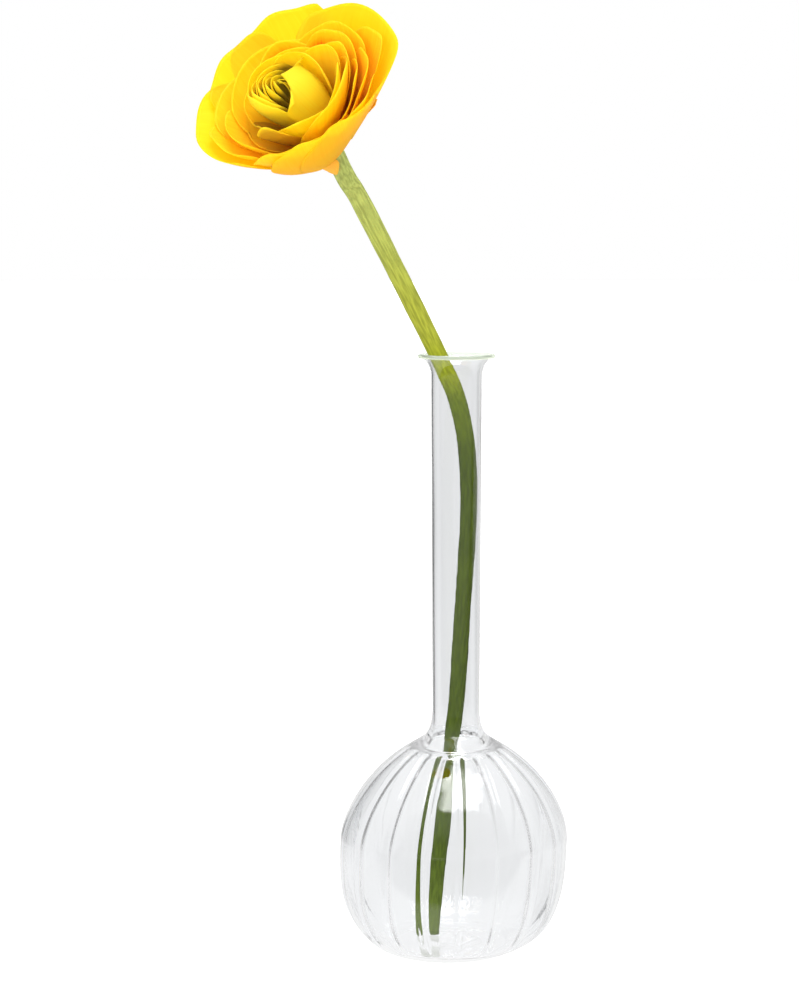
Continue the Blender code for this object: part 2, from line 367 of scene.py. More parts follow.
def glass_material():
    """Clear glass with drawn-out streaks and a milky edge to its lip.

    Lamps shine through it onto the stem."""
    s = Shader("clear_glass")
    uv = s.add("ShaderNodeUVMap", uv_map="turn").outputs["UV"]
    streaks = s.noise(s.stretch(uv, (150.0, 5.0, 1.0)), 1.0, 3.0)
    glass = s.add(
        "ShaderNodeBsdfPrincipled",
        {
            "Base Color": (0.982, 0.989, 0.996, 1.0),
            "Roughness": 0.0,
            "IOR": 1.47,
            "Transmission Weight": 1.0,
            "Normal": s.bump(0.35, 0.03, streaks),
        },
    ).outputs[0]
    place = s.add("ShaderNodeTexCoord").outputs["Object"]
    height = s.add("ShaderNodeSeparateXYZ", {"Vector": place}).outputs["Z"]
    lip = s.span(height, LIP_TINT_FOOT * MM, LIP_TINT_TOP * MM, 0.0, 0.45)
    milky = s.add("ShaderNodeBsdfTranslucent", {"Color": (0.80, 0.88, 0.74, 1.0)}).outputs[0]
    glass = s.mixed(lip, glass, milky)
    clear = s.add("ShaderNodeBsdfTransparent", {"Color": (0.96, 0.97, 0.97, 1.0)}).outputs[0]
    path = s.add("ShaderNodeLightPath")
    lamp = s.math("MAXIMUM", path.outputs["Is Shadow Ray"], path.outputs["Is Diffuse Ray"])
    return s.surface(s.mixed(lamp, glass, clear))


def petal_material():
    """Waxy yellow petal tissue that glows where light comes through it."""
    s = Shader("petal_yellow")
    rim, olive, heart_shade = s.tissue()
    uv = s.add("ShaderNodeUVMap", uv_map="petal").outputs["UV"]
    veins = s.noise(s.stretch(uv, (46.0, 1.6, 1.0)), 1.0, 4.0)
    patches = s.noise(uv, 3.0, 2.0)
    veined = s.math("ADD", rim, s.sway(veins, 0.5))
    mottled = s.math("ADD", veined, s.sway(patches, 0.4), clamp=True)
    # The orange and red low end of this ramp is painted shade, reached where the rim mask is low
    colour = s.ramp(
        mottled,
        (
            (0.0, (0.95, 0.17, 0.004)),
            (0.3, (0.98, 0.63, 0.008)),
            (0.55, (0.99, 0.74, 0.018)),
            (1.0, (0.99, 0.86, 0.040)),
        ),
    )
    colour = s.blend(s.math("MULTIPLY", olive, 0.8), colour, (0.62, 0.40, 0.03))
    # Painted dark shade in the gaps of the heart
    colour = s.blend(heart_shade, colour, (0.20, 0.09, 0.012))
    bump = s.bump(0.7, 0.12, veins)
    body = s.add(
        "ShaderNodeBsdfPrincipled",
        {
            "Base Color": colour,
            "Roughness": 0.5,
            "Specular IOR Level": 0.15,
            "Sheen Weight": 0.03,
            "Normal": bump,
        },
    ).outputs[0]
    through = s.add("ShaderNodeBsdfTranslucent", {"Color": colour, "Normal": bump}).outputs[0]
    return s.surface(s.mixed(PETAL_GLOW, body, through))


def stem_material():
    """Green stem, dark inside the vase and paler towards the flower, with a fine broken grain. The dark
    is partly painted shade and the pale partly painted light, over the stem's own darker green low
    down.
    """
    s = Shader("stem_green")
    place = s.add("ShaderNodeTexCoord").outputs["Object"]
    height = s.add("ShaderNodeSeparateXYZ", {"Vector": place}).outputs["Z"]
    share = s.math("DIVIDE", height, STEM_SHADE_AND_COLOUR_TOP * MM, clamp=True)
    # By height: painted shade in the vase's neck and painted light from its lip up, over the stem's own
    # darker green low down
    colour = s.ramp(
        share,
        (
            (0.0, (0.090, 0.125, 0.020)),
            (0.16, (0.052, 0.079, 0.005)),
            (0.45, (0.048, 0.071, 0.003)),
            (0.62, (0.046, 0.069, 0.003)),
            (0.70, (0.088, 0.120, 0.006)),
            (0.75, (0.220, 0.250, 0.014)),
            (0.80, (0.280, 0.298, 0.036)),
            (1.0, (0.375, 0.430, 0.125)),
        ),
    )
    uv = s.add("ShaderNodeUVMap", uv_map="stem").outputs["UV"]
    fibres = s.noise(s.stretch(uv, (26.0, 60.0, 1.0)), 1.0, 5.0)
    grain = s.noise(place, 1500.0, 2.0)
    tone = s.ramp(fibres, ((0.3, (0.72, 0.72, 0.66)), (0.7, (1.2, 1.2, 1.1))))
    colour = s.blend(1.0, colour, tone, "MULTIPLY")
    body = s.add(
        "ShaderNodeBsdfPrincipled",
        {
            "Base Color": colour,
            "Roughness": 0.6,
            "Specular IOR Level": 0.06,
            "Normal": s.bump(0.5, 0.08, grain),
        },
    ).outputs[0]
    return s.surface(body)


def sepal_material():
    """Orange-yellow sepal, paler towards its tip, with lengthwise veins."""
    s = Shader("sepal_orange")
    rim = s.tissue()[0]
    uv = s.add("ShaderNodeUVMap", uv_map="petal").outputs["UV"]
    veins = s.noise(s.stretch(uv, (22.0, 2.0, 1.0)), 1.0, 4.0)
    veined = s.math("ADD", rim, s.sway(veins, 0.5), clamp=True)
    colour = s.ramp(
        veined,
        (
            (0.0, (0.75, 0.42, 0.03)),
            (0.5, (0.97, 0.50, 0.02)),
            (1.0, (0.98, 0.66, 0.06)),
        ),
    )
    bump = s.bump(0.4, 0.08, veins)
    surface = {"Base Color": colour, "Roughness": 0.6, "Normal": bump}
    body = s.add("ShaderNodeBsdfPrincipled", surface).outputs[0]
    through = s.add("ShaderNodeBsdfTranslucent", {"Color": colour}).outputs[0]
    return s.surface(s.mixed(SEPAL_GLOW, body, through))


def carpel_material():
    """Dark brown seed button, its grains a little paler in their middles."""
    s = Shader("carpel_brown")
    place = s.add("ShaderNodeTexCoord").outputs["Object"]
    grains = s.add("ShaderNodeTexVoronoi", {"Vector": place, "Scale": 900.0}).outputs["Distance"]
    colour = s.ramp(grains, ((0.0, (0.10, 0.08, 0.02)), (0.6, (0.03, 0.02, 0.008))))
    surface = {"Base Color": colour, "Roughness": 0.6, "Normal": s.bump(0.6, 0.2, grains)}
    return s.surface(s.add("ShaderNodeBsdfPrincipled", surface).outputs[0])


# ---------------------------------------------------------------- meshes


def grid_mesh(name, points, uv_name, around=False, masks=None):
    """Mesh over a rows x columns x 3 array of points in millimetres. around closes each row."""
    rows, columns = points.shape[:2]
    spans = columns if around else columns - 1
    i, j = np.meshgrid(np.arange(rows - 1), np.arange(spans), indexing="ij")
    k = (j + 1) % columns
    this, after = i * columns, (i + 1) * columns
    faces = np.stack((this + j, this + k, after + k, after + j), -1)
    mesh = bpy.data.meshes.new(name)
    mesh.from_pydata((points.reshape(-1, 3) * MM).tolist(), [], faces.reshape(-1, 4).tolist())
    layer = mesh.uv_layers.new(name=uv_name)
    u = np.stack((j, j + 1, j + 1, j), -1) / spans
    v = np.stack((i, i, i + 1, i + 1), -1) / (rows - 1)
    layer.data.foreach_set("uv", np.stack((u, v), -1).astype(np.float32).ravel())
    if masks is not None:
        attribute = mesh.attributes.new("tissue", "FLOAT_COLOR", "POINT")
        attribute.data.foreach_set("color", masks.astype(np.float32).ravel())
    mesh.shade_smooth()
    return mesh


def place_piece(name, mesh, material, body, replaced):
    """Piece that rides on a body and stands in for one CAD node."""
    obj = bpy.data.objects.new(name, mesh)
    mesh.materials.append(material)
    bpy.context.scene.collection.objects.link(obj)
    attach(obj, body)
    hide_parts(replaced)
    return obj


def spline(points, steps):
    """Smooth curve through the points, without the last one."""
    points = np.array(points, float)
    padded = np.vstack((2 * points[0] - points[1], points, 2 * points[-1] - points[-2]))
    out = []
    for a, b, c, d in zip(padded, padded[1:], padded[2:], padded[3:]):
        for t in np.arange(steps) / steps:
            bend = (2 * a - 5 * b + 4 * c - d) * t**2
            twist = (3 * b - a - 3 * c + d) * t**3
            out.append(0.5 * (2 * b + (c - a) * t + bend + twist))
    return [tuple(p) for p in out]


# ---------------------------------------------------------------- glass


def superellipse(radius, rise, power, turn):
    return radius * math.cos(turn) ** (2 / power), rise * math.sin(turn) ** (2 / power)


def superellipse_turn(rise, power, height):
    return math.asin((height / rise) ** (power / 2))


def neck_radius(height):
    top = VASE_HEIGHT - LIP_FLARE_RADIUS
    share = (height - NECK_FOOT_HEIGHT) / (top - NECK_FOOT_HEIGHT)
    return mix(NECK_FOOT_RADIUS, NECK_TOP_RADIUS, max(0.0, min(1.0, share)))


def lip_points(steps):
    """Flared, fire-polished lip, from inside the throat over the bead and down the outside."""
    turns = [LIP_FLARE_TURN * i / steps for i in range(steps + 1)]
    foot = VASE_HEIGHT - LIP_BEAD_RADIUS - LIP_FLARE_RADIUS * math.sin(LIP_FLARE_TURN)
    centre = NECK_TOP_RADIUS + LIP_FLARE_RADIUS
    inner = LIP_FLARE_RADIUS + NECK_WALL
    throat = [(centre - inner * math.cos(t), foot + inner * math.sin(t)) for t in turns]
    outside = [
        (centre - LIP_FLARE_RADIUS * math.cos(t), foot + LIP_FLARE_RADIUS * math.sin(t))
        for t in reversed(turns)
    ]
    bead = [
        (
            LIP_RADIUS - LIP_BEAD_RADIUS + LIP_BEAD_RADIUS * math.sin(a),
            VASE_HEIGHT - LIP_BEAD_RADIUS + LIP_BEAD_RADIUS * math.cos(a),
        )
        for a in (math.radians(-30 + 19 * i) for i in range(10))
    ]
    return throat[:-1] + bead + outside[1:]


def inner_profile():
    """From the middle of the inner floor up the bulb and over the sealed ring into the neck."""
    inside = BULB_RADIUS - BULB_WALL
    drop = BULB_LOWER_DROP - BULB_WALL
    steps = 40
    last = superellipse_turn(drop, BULB_LOWER_POWER, BULB_MIDDLE - FLOOR_HEIGHT - 0.9)
    bowl = []
    for i in range(steps):
        r, down = superellipse(inside, drop, BULB_LOWER_POWER, last * (1 - i / (steps - 1)))
        bowl.append((r, BULB_MIDDLE - down))
    floor = [(r, FLOOR_HEIGHT + rise) for r, rise in FLOOR_RING]
    rise = BULB_UPPER_RISE - BULB_WALL
    last = superellipse_turn(rise, BULB_UPPER_POWER, SEAL_INSIDE[0][1] - BULB_MIDDLE - 1.6)
    roof = []
    for i in range(1, steps):
        r, up = superellipse(inside, rise, BULB_UPPER_POWER, last * i / (steps - 1))
        roof.append((r, BULB_MIDDLE + up))
    foot = (neck_radius(NECK_FOOT_HEIGHT) - NECK_WALL, NECK_FOOT_HEIGHT)
    return spline((*floor, bowl[0]), 6) + bowl + roof[:-1] + spline((roof[-1], *SEAL_INSIDE, foot), 6)


def outer_profile():
    """From the foot of the neck down over the shoulder and the bulb to the middle of the foot."""
    first = superellipse_turn(BULB_UPPER_RISE, BULB_UPPER_POWER, SHOULDER_TOP - BULB_MIDDLE)
    steps = 40
    dome = []
    for i in range(steps):
        turn = first * (1 - i / (steps - 1))
        r, rise = superellipse(BULB_RADIUS, BULB_UPPER_RISE, BULB_UPPER_POWER, turn)
        dome.append((r, BULB_MIDDLE + rise))
    neck = (neck_radius(NECK_FOOT_HEIGHT), NECK_FOOT_HEIGHT)
    shoulder = spline((neck, *SEAL_OUTSIDE, dome[0]), 6)
    last = superellipse_turn(BULB_LOWER_DROP, BULB_LOWER_POWER, BULB_MIDDLE)
    for i in range(1, steps + 1):
        r, fall = superellipse(BULB_RADIUS, BULB_LOWER_DROP, BULB_LOWER_POWER, last * i / steps)
        dome.append((r, BULB_MIDDLE - fall))
    rim = dome[-1][0]
    return shoulder + dome + [(0.97 * rim, 0.0), (0.7 * rim, 0.0), (0.35 * rim, 0.0), (0.0, 0.0)]


def glass_profile():
    """(radius, height) points and, for each, whether it lies on the inner skin."""
    top = VASE_HEIGHT - LIP_FLARE_RADIUS - 4.0
    heights = [mix(NECK_FOOT_HEIGHT, top, i / 14) for i in range(15)]
    inner = inner_profile() + [(neck_radius(z) - NECK_WALL, z) for z in heights]
    lip = lip_points(12)
    outer = [(neck_radius(z), z) for z in reversed(heights[1:])] + outer_profile()
    points = np.array(inner + lip + outer)
    inside = np.arange(len(points)) < len(inner)
    return points, inside


def lean(height):
    """Sideways drift of the hand-blown bulb: its lower part sits a little to the left."""
    return -1.3 * smooth(62, 12, height) - 1.4 * smooth(9, 0, height) ** 2


def build_glass(material):
    """The profile turned about the vase's axis, with ribs that rise square to the inner skin."""
    profile, inside = glass_profile()
    radius = profile[:, 0][:, None]
    height = profile[:, 1][:, None]
    along = np.gradient(profile, axis=0)
    along /= np.linalg.norm(along, axis=1)[:, None]
    turn = 2 * math.pi * np.arange(GLASS_TURNS) / GLASS_TURNS
    turn = (turn - RIB_CROWDING * np.sin(RIB_COUNT * turn) / RIB_COUNT)[None, :]
    rng = np.random.default_rng(SEED)
    number = np.round(turn * RIB_COUNT / (2 * math.pi)).astype(int) % RIB_COUNT
    drift = np.radians(rng.uniform(-0.5, 0.5, RIB_COUNT))[number]
    strength = rng.uniform(0.95, 1.1, RIB_COUNT)[number]
    nearest = number * 2 * math.pi / RIB_COUNT
    off = (turn - nearest + math.pi) % (2 * math.pi) - math.pi
    fade = smooth(RIB_FOOT, RIB_FOOT + 10, height) * smooth(RIB_TOP, RIB_TOP - RIB_END, height)
    bulb = inside[:, None] & (radius > 14.0)
    side = off * radius / RIB_HALF_WIDTH
    ridge = np.cos(0.5 * math.pi * np.clip(side, -1, 1))
    rise = np.where(bulb, RIB_RISE * strength * fade * ridge, 0.0)
    ripple = 0.05 * np.sin(3 * turn + 0.09 * height) + 0.03 * np.sin(5 * turn - 0.05 * height)
    ripple = ripple * smooth(0, 14, radius) * smooth(0, 20, height)
    radius = radius - rise * along[:, 1:] + np.where(inside[:, None], ripple, 0.0)
    height = height + rise * along[:, :1]
    angle = turn + drift * smooth(8, 40, height) + RIB_PHASE
    points = np.stack(
        (
            radius * np.cos(angle) + lean(height),
            radius * np.sin(angle),
            height,
        ),
        -1,
    )
    mesh = grid_mesh("vase_glass", points, "turn", around=True)
    close_poles(mesh)
    place_piece("vase_glass", mesh, material, "vase", "vase_body")


def close_poles(mesh):
    """Joins the first and the last ring, whose radius is nothing, to one point each."""
    form = bmesh.new()
    form.from_mesh(mesh)
    bmesh.ops.remove_doubles(form, verts=form.verts, dist=1e-7)
    bmesh.ops.recalc_face_normals(form, faces=form.faces)
    form.to_mesh(mesh)
    form.free()
    mesh.shade_smooth()


# ---------------------------------------------------------------- flower


def head_matrix():
    axis = Vector(HEAD_AXIS).normalized()
    across = Vector((0, 1, 0)).cross(axis).normalized()
    back = axis.cross(across)
    turn = Matrix((across, back, axis)).transposed().to_4x4()
    return Matrix.Translation(Vector(HEAD_PLACE)) @ turn


def to_world(points):
    m = np.array(head_matrix())
    return points @ m[:3, :3].T + m[:3, 3]


def cubic(points, share):
    """Points of a cubic Bezier curve given by four (radius, height) pairs."""
    rest = 1 - share
    weights = (rest**3, 3 * rest**2 * share, 3 * rest * share**2, share**3)
    return tuple(sum(w * p[axis] for w, p in zip(weights, points)) for axis in (0, 1))


def between_directions(values, angle):
    """Smooth value at each angle, in radians, from one value for each of RIM_DIRECTIONS."""
    first = RIM_DIRECTIONS[0]
    stops = [*(d - first for d in RIM_DIRECTIONS), 360]
    values = [*values, values[0]]
    turned = (np.degrees(angle) - first) % 360
    out = np.zeros_like(turned)
    for low, high, start, end in zip(stops, stops[1:], values, values[1:]):
        here = (turned >= low) & (turned < high)
        out = np.where(here, mix(start, end, smooth(low, high, turned)), out)
    return out


def cup_curve(ring, depth, angle, across):
    """Bezier points of the nested cups of open petals: depth 0 outside, 1 inside."""
    near = smooth(0.35, 1.0, np.cos(angle - math.radians(-118)))
    right = smooth(0.4, 1.0, np.cos(angle - math.radians(-48)))
    turn = 0.46 * math.pi * depth
    claw = (RECEPTACLE_RADIUS * np.cos(turn), RECEPTACLE_RISE * np.sin(turn))
    low = (mix(11.0 + 2.0 * near - 2.5 * right, 3.4, depth), mix(1.2 * right - 0.5, 13.5, depth))
    high = (
        mix(31.5 - 2.3 * near - 4.5 * right, 7.0, depth),
        mix(18.5 - 6.0 * near - 1.0 * right, 25.0, depth),
    )
    radii, heights = zip(*RING_RIMS[ring])
    rim = (between_directions(radii, angle) - 0.8 * across, between_directions(heights, angle))
    return claw, low, high, rim


def ball_curve(form, across):
    """Bezier points of a petal of the closed ball: it swells out, then bends in over the heart."""
    bulge = form["bulge"]
    tuck = -0.7 * across
    if form["cover"]:
        shoulder = 0.6
        side = np.abs(across) ** 5
        dip = 1.5 * across**2 + 2.2 * side
    else:
        shoulder = 4.0
        side = 0.5 * across**2
        dip = 1.5 * across**2
    claw = (0.3 * bulge + 0.5, 9.0 - 0.25 * bulge)
    low = (0.72 * bulge + tuck, 12.5)
    high = (1.2 * bulge + tuck, form["top"] - shoulder)
    rim = (mix(form["rim"], 0.95 * bulge, side) + tuck, form["top"] - dip)
    return claw, low, high, rim


def petal_width(along):
    """Share of the full width: narrow claw, broadest past the middle, round at the rim."""
    rising = mix(0.4, 1.0, np.sin(0.5 * math.pi * np.minimum(along, 0.65) / 0.65))
    return rising - 0.25 * (np.maximum(along - 0.65, 0.0) / 0.35) ** 2


def petal_points(form, columns, rows):
    """Points of a petal in the head's axes, and how far along it each one lies."""
    across = np.linspace(-1, 1, columns)[None, :]
    along = np.linspace(0, 1, rows)[:, None]
    rim = smooth(0.55, 1.0, along)
    wave = np.sin(form["waves"] * math.pi * across + form["phase"])
    lobe = form["lobe"] * np.sin(2.1 * math.pi * across + 1.7 * form["phase"])
    share = form["reach"] * along * (1 - form["round"] * np.abs(across) ** form["corner"] + lobe * rim)
    angle = form["place"] + across * petal_width(along) * form["spread"]
    if "curve" in form:
        curve = form["curve"]
    elif "bulge" in form:
        curve = ball_curve(form, across)
    else:
        tuck = form["tuck"] * across * np.minimum(1.0, along / 0.3)
        curve = cup_curve(form["ring"], form["depth"] + tuck, angle, across)
    radius, height = cubic(curve, share)
    radius = radius + rim * (form["open"] + form["wave"] * wave)
    height = height - rim * (form["drop"] + 0.5 * form["wave"] * wave)
    radius = radius - form["spoon"] * across**2 * smooth(0.3, 0.8, along)
    shift = smooth(0.2, 0.9, along)
    x = radius * np.cos(angle) + form["shift"][0] * shift
    y = radius * np.sin(angle) + form["shift"][1] * shift
    return np.stack((x, y, height + 0 * across), -1), along + 0 * across


def petal_masks(form, points, along):
    """Colour masks: rim, with painted shade at the foot and painted red shade at the far side, olive
    tint, and painted dark shade in the heart.
    """
    # Rim runs from the foot value up to the crown value: the darker, more orange foot is painted shade
    rim = mix(form["foot"], form["crown"], smooth(0.2, 0.8, along))
    turned = np.degrees(np.arctan2(points[..., 1], points[..., 0]))
    # Painted red shade on one ring's petals at the far side of the head, low down each petal
    far_red_shade = smooth(10, 50, turned) * smooth(135, 95, turned) * smooth(1.0, 0.8, along)
    rim = rim * (1 - form["far_red_shade_share"] * far_red_shade)
    olive = form["olive"] * smooth(0.2, 0.6, along) * smooth(1.0, 0.92, along)
    away = np.hypot(points[..., 0] - BALL_CENTRE[0], points[..., 1] - BALL_CENTRE[1])
    # Painted dark shade in the heart: within about 12 mm of the ball's middle and below about 27 mm up
    heart_shade = form["gap_shade"] * smooth(12.5, 10.0, away) * smooth(28.8, 26.2, points[..., 2])
    return np.stack((rim, olive, heart_shade, np.ones_like(rim)), -1)


def ring_form(ring, i, count, rng):
    """Shape of petal i of a ring, before it is made to differ from the others of its ring."""
    rings = len(PETALS_PER_RING) - 1
    depth = ring / rings
    outer = 1 - depth
    start = math.radians(RING_STARTS[min(ring, len(RING_STARTS) - 1)])
    return {
        "ring": ring,
        "place": start + 2 * math.pi * i / count + rng.uniform(-0.08, 0.08),
        "spread": 0.70 * 2 * math.pi / count,
        "depth": depth + rng.uniform(-0.12, 0.12) / rings,
        "reach": rng.uniform(0.985, 1.015),
        "round": 0.2,
        "corner": 3.2 if ring == 0 else 2.3,
        "lobe": 0.02 * outer,
        "waves": rng.uniform(1.0, 2.0),
        "phase": rng.uniform(0, 2 * math.pi),
        "wave": mix(0.05, 0.5, outer**1.5),
        "tuck": 0.27 / rings,
        "open": 0.0,
        "drop": 0.0,
        "spoon": mix(0.2, 0.8, outer),
        "shift": (0.0, 0.0),
        # Painted shade: red on one ring's far side, and a darker foot than crown on every petal
        "far_red_shade_share": 0.8 if ring == FAR_RED_SHADE_RING else 0.0,
        "olive": 0.0,
        "gap_shade": 0.0,
        "foot": 0.4,
        "crown": 0.6 + 0.05 * ring,
    }


def petal_forms():
    """The shape of each petal, ring by ring from the outside in."""
    rng = random.Random(SEED)
    forms = []
    for ring, count in enumerate(PETALS_PER_RING):
        for i in range(count):
            form = ring_form(ring, i, count, rng)
            number = len(forms) + 1
            if number in ODD_PETALS:
                form.update(ODD_PETALS[number])
                form.update(place=math.radians(form["place"]), spread=math.radians(form["spread"]))
            if number in BALL_PETALS:
                form.update(ball_form(number))
            forms.append(form)
    return forms


def ball_form(number):
    """What a petal of the closed ball has of its own. Only the cover has no olive and no painted shade
    of the heart.
    """
    place, spread, bulge, rim, top = BALL_PETALS[number]
    cover = number == BALL_COVER
    # Painted shade in the heart, strong on the inner ball petals and faint on the outer ones
    gap_shade = 0.75 if number > BALL_COVER + 3 else 0.15
    return {
        "place": math.radians(place),
        "spread": math.radians(spread),
        "bulge": bulge,
        "rim": rim,
        "top": top,
        "cover": cover,
        "wave": 0.12,
        "spoon": 0.0,
        "shift": BALL_CENTRE,
        "lobe": 0.0,
        "round": 0.1,
        "foot": 0.8,
        "crown": 0.95,
        "olive": 0.0 if cover else 0.04,
        "gap_shade": 0.0 if cover else gap_shade,
    }


def build_petals(material):
    for number, form in enumerate(petal_forms(), 1):
        points, along = petal_points(form, PETAL_COLUMNS, PETAL_ROWS)
        masks = petal_masks(form, points, along)
        name = f"petal_{number:02d}"
        mesh = grid_mesh(f"{name}_fine", to_world(points), "petal", masks=masks)
        piece = place_piece(f"{name}_fine", mesh, material, "flower", name)
        thicken(piece, PETAL_THICKNESS)


def thicken(piece, thickness):
    solid = piece.modifiers.new("Thickness", "SOLIDIFY")
    solid.thickness = thickness * MM
    solid.offset = 0.0
    solid.use_even_offset = False


def build_stem(material):
    """Round stem along its bent centre line, cut square at its foot, with faint swellings."""
    tip = Vector(HEAD_PLACE) - Vector(HEAD_AXIS).normalized() * (RECEPTACLE_FOOT + 0.3)
    path = [*STEM_PATH, (*tip, STEM_PATH[-1][3])]
    line = np.array([*spline(path, 12), path[-1]])
    centre, radius = line[:, :3], line[:, 3]
    ahead = np.gradient(centre, axis=0)
    ahead /= np.linalg.norm(ahead, axis=1)[:, None]
    side = np.cross(ahead, (0.0, 1.0, 0.0))
    side /= np.linalg.norm(side, axis=1)[:, None]
    normal = np.cross(side, ahead)
    turns = 2 * math.pi * np.arange(40) / 40
    length = np.cumsum(np.linalg.norm(np.diff(centre, axis=0, prepend=centre[:1]), axis=1))
    swell = 1 + 0.015 * np.sin(0.21 * length) + 0.01 * np.sin(0.53 * length + 1.0)
    flute = 1 + 0.012 * np.cos(5 * turns)[None, :] + 0.008 * np.cos(9 * turns + 1)[None, :]
    r = (radius * swell)[:, None] * flute
    points = (
        centre[:, None, :]
        + r[..., None] * np.cos(turns)[None, :, None] * side[:, None, :]
        + r[..., None] * np.sin(turns)[None, :, None] * normal[:, None, :]
    )
    foot = [centre[0] + (points[0] - centre[0]) * share for share in (0.02, 0.5, 0.9)]
    top = [centre[-1] + (points[-1] - centre[-1]) * share for share in (0.9, 0.5, 0.02)]
    points = np.concatenate((np.stack(foot), points, np.stack(top)))
    mesh = grid_mesh("stem_fine", points, "stem", around=True)
    close_tube(mesh)
    place_piece("stem_fine", mesh, material, "flower", "stem")


def close_tube(mesh):
    """Fills the small holes that are left at the stem's two ends."""
    form = bmesh.new()
    form.from_mesh(mesh)
    edges = [e for e in form.edges if e.is_boundary]
    bmesh.ops.holes_fill(form, edges=edges)
    bmesh.ops.recalc_face_normals(form, faces=form.faces)
    form.to_mesh(mesh)
    form.free()
    mesh.shade_smooth()


def turned_piece(name, profile, steps, wobble):
    """Closed piece turned about the head's axis from (radius, height) points."""
    turn = 2 * math.pi * np.arange(steps) / steps
    profile = np.array(profile)
    radius, height = profile[:, :1], profile[:, 1:]
    radius = radius * wobble(turn[None, :], height)
    points = np.stack((radius * np.cos(turn), radius * np.sin(turn), height + 0 * turn), -1)
    mesh = grid_mesh(name, to_world(points), "turn", around=True)
    close_poles(mesh)
    return mesh


def build_receptacle(material):
    """Fluted dome inside the petals, a little smaller than the surface they grow from."""
    radius = RECEPTACLE_RADIUS - 0.8
    rise = RECEPTACLE_RISE - 0.8
    dome = [(radius * math.sin(t), rise * math.cos(t)) for t in np.linspace(0, math.pi / 2, 16)]
    foot = -RECEPTACLE_FOOT
    flare = [tuple(p) for p in spline(((radius, 0.0), (4.5, 0.55 * foot), (3.5, foot)), 8)]
    profile = [*dome, *flare[1:], (3.3, foot), (1.6, foot), (0.0, foot)]
    mesh = turned_piece("receptacle_fine", profile, 48, lambda t, h: 1 + 0.02 * np.cos(10 * t))
    place_piece("receptacle_fine", mesh, material, "flower", "receptacle")


def build_carpels(material):
    """Knobbly button of seeds at the heart of the ball."""
    foot = RECEPTACLE_RISE - 0.4
    heights = np.linspace(CARPEL_TOP, foot, 30)[1:]
    knobs = [(0.45 + 0.5 * math.sin((CARPEL_TOP - h) * 0.28) ** 2, h) for h in heights]
    profile = [(0.0, CARPEL_TOP), *knobs, (0.0, foot)]
    mesh = turned_piece(
        "carpels_fine", profile, 36, lambda t, h: 1 + 0.12 * np.sin(6 * t) * np.sin(4.5 * h)
    )
    place_piece("carpels_fine", mesh, material, "flower", "carpels")


def build_sepals(material):
    """Small sepals under the petals, one of them folded back along the stem."""
    rng = random.Random(SEED + 1)
    for i, (place, spread, curve) in enumerate(SEPALS):
        name = f"sepal_{i + 1}"
        form = ring_form(0, 0, 5, rng)
        form.update(place=math.radians(place), spread=math.radians(spread), curve=curve)
        form.update(reach=1.0, round=0.35, wave=0.15, spoon=0.0)
        points, along = petal_points(form, SEPAL_STEPS, SEPAL_STEPS)
        masks = petal_masks(form, points, along)
        mesh = grid_mesh(f"{name}_fine", to_world(points), "petal", masks=masks)
        piece = place_piece(f"{name}_fine", mesh, material, "flower", name)
        thicken(piece, SEPAL_THICKNESS)


# ---------------------------------------------------------------- studio


def grey(level):
    return (level, level, level)


def backdrop(s, x, y):
    """Brightness of what stands round the vase, in the direction of x and y from it.

    Well to the side, rays that only passed through the glass see it plain and pale."""
    azimuth = s.math("ADD", s.math("DIVIDE", s.math("ARCTAN2", x, y), 2 * math.pi), 0.5)
    wall = s.ramp(azimuth, [(0.5 + degrees / 360, grey(level)) for degrees, level in BACKDROP])
    turned = s.math("ABSOLUTE", s.math("SUBTRACT", azimuth, 0.5))
    beside = s.span(turned, 34 / 360, 44 / 360)
    return s.blend(s.math("MULTIPLY", beside, straight(s)), wall, grey(PLAIN_BACKDROP))


def straight(s):
    """1 for a ray that has only passed through glass, 0 for one that was mirrored in it."""
    mirrored = s.add("ShaderNodeLightPath").outputs["Glossy Depth"]
    return s.math("LESS_THAN", mirrored, 0.5)


def window(s, across, down, left, right, near, far, soft):
    """1 inside a soft-edged pane, 0 outside it."""
    edges = (
        (across, left - soft, left + soft),
        (across, right + soft, right - soft),
        (down, near - soft, near + soft),
        (down, far + soft, far - soft),
    )
    inside = 1.0
    for value, low, high in edges:
        inside = s.math("MULTIPLY", s.span(value, low, high, kind="SMOOTHSTEP"), inside)
    return inside


def build_world():
    """White studio. What the glass shows is a pale backdrop, darker at its ends, and a bright pane
    above. What lights the flower is soft and comes from all sides."""
    world = bpy.data.worlds.new("studio")
    bpy.context.scene.world = world
    s = Shader("studio", world)
    direction = s.add("ShaderNodeTexCoord").outputs["Generated"]
    x, y, z = s.add("ShaderNodeSeparateXYZ", {"Vector": direction}).outputs
    wall = backdrop(s, x, y)
    above = s.span(z, 0.3, 0.7, kind="SMOOTHSTEP")
    ceiling = s.span(y, -0.7, 0.1, 0.6, 1.0)
    shown = s.blend(above, wall, s.even(ceiling))
    uneven = s.sway(s.noise(direction, 5.0, 1.0), 0.35)
    high = s.math("MAXIMUM", z, 0.05)
    across = s.math("ADD", s.math("DIVIDE", x, high), uneven)
    down = s.math("ADD", s.math("DIVIDE", y, high), uneven)
    pane = window(s, across, down, *PANE)
    small = window(s, across, down, *SMALL_PANE)
    bright = s.math("MULTIPLY", s.math("ADD", pane, small), PANE_BRIGHTNESS)
    shown = s.blend(1.0, shown, s.even(bright), "ADD")
    rise = s.math("ADD", s.math("MULTIPLY", z, 0.5), 0.5)
    lighting = s.ramp(rise, ((0.0, grey(1.35)), (0.5, grey(1.3)), (1.0, grey(1.05))))
    path = s.add("ShaderNodeLightPath")
    colour = s.blend(path.outputs["Is Diffuse Ray"], shown, lighting)
    colour = s.blend(path.outputs["Is Camera Ray"], colour, grey(1.0))
    s.surface(s.add("ShaderNodeBackground", {"Color": colour, "Strength": 1.0}).outputs[0])


